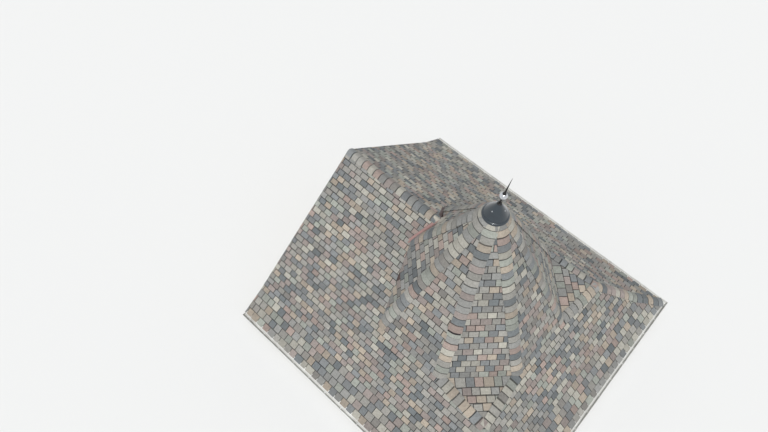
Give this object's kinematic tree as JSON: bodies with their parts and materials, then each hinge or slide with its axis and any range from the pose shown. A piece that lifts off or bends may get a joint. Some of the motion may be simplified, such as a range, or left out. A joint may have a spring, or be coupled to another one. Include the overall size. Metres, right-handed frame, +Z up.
{
  "type": "turret roof",
  "caption": "Octagonal shingled turret spire rising out of the hipped end of a roof wing, with flared eaves, white gutters, a metal cap and a ball finial.",
  "frame": {"origin": "on the axis of the spire, level with the underside of the wall heads", "axes": "+Z up the spire, +X towards the hipped end's eave, +Y to the left of someone who looks along +X"},
  "size_m": [8.97, 8.97, 7.1472],
  "materials": {
    "shingles": "matt mineral-faced shingles in mixed greys, tans and dull reds",
    "framing_timber": "sawn softwood",
    "white_trim": "satin white paint",
    "wall_boards": "pale painted boards",
    "white_gutter": "satin white enamel",
    "maroon_flashing": "dull maroon enamel",
    "ceiling_board": "matt white board",
    "dark_cap_metal": "glossy dark blue-grey enamel",
    "black_iron": "satin black",
    "silver_ball": "dull silver"
  },
  "bodies": {
    "root": {"ceiling": "ceiling_board", "ceiling_joists": "framing_timber", "corner_beams": "framing_timber", "end_wall": "wall_boards", "fascia_east": "white_trim", "fascia_north": "white_trim", "fascia_south": "white_trim", "finial_ball": "silver_ball", "finial_collar": "black_iron", "finial_spike": "black_iron", "flare_deck_east": "shingles", "flare_deck_north": "shingles", "flare_deck_south": "shingles", "gutter_east": "white_gutter", "gutter_north": "white_gutter", "gutter_south": "white_gutter", "hip_rafters": "framing_timber", "king_beam": "framing_timber", "king_post": "framing_timber", "main_deck_east": "shingles", "main_deck_north": "shingles", "main_deck_south": "shingles", "main_rafters_east": "framing_timber", "main_rafters_north": "framing_timber", "main_rafters_south": "framing_timber", "metal_cap": "dark_cap_metal", "ridge_beam": "framing_timber", "ring_beam_east": "framing_timber", "ring_beam_north": "framing_timber", "ring_beam_south": "framing_timber", "skirt_deck_northeast": "shingles", "skirt_deck_southeast": "shingles", "soffit_east": "white_trim", "soffit_north": "white_trim", "soffit_south": "white_trim", "spire_deck_east": "shingles", "spire_deck_north": "shingles", "spire_deck_northeast": "shingles", "spire_deck_northwest": "shingles", "spire_deck_south": "shingles", "spire_deck_southeast": "shingles", "spire_deck_southwest": "shingles", "spire_deck_west": "shingles", "spire_hip_rafters": "framing_timber", "spire_rafters": "framing_timber", "valley_flashing_north": "maroon_flashing", "valley_flashing_south": "maroon_flashing", "valley_rafters": "framing_timber", "wall_head_east": "wall_boards", "wall_head_north": "wall_boards", "wall_head_south": "wall_boards", "wing_rafters": "framing_timber"}
  },
  "joints": []
}
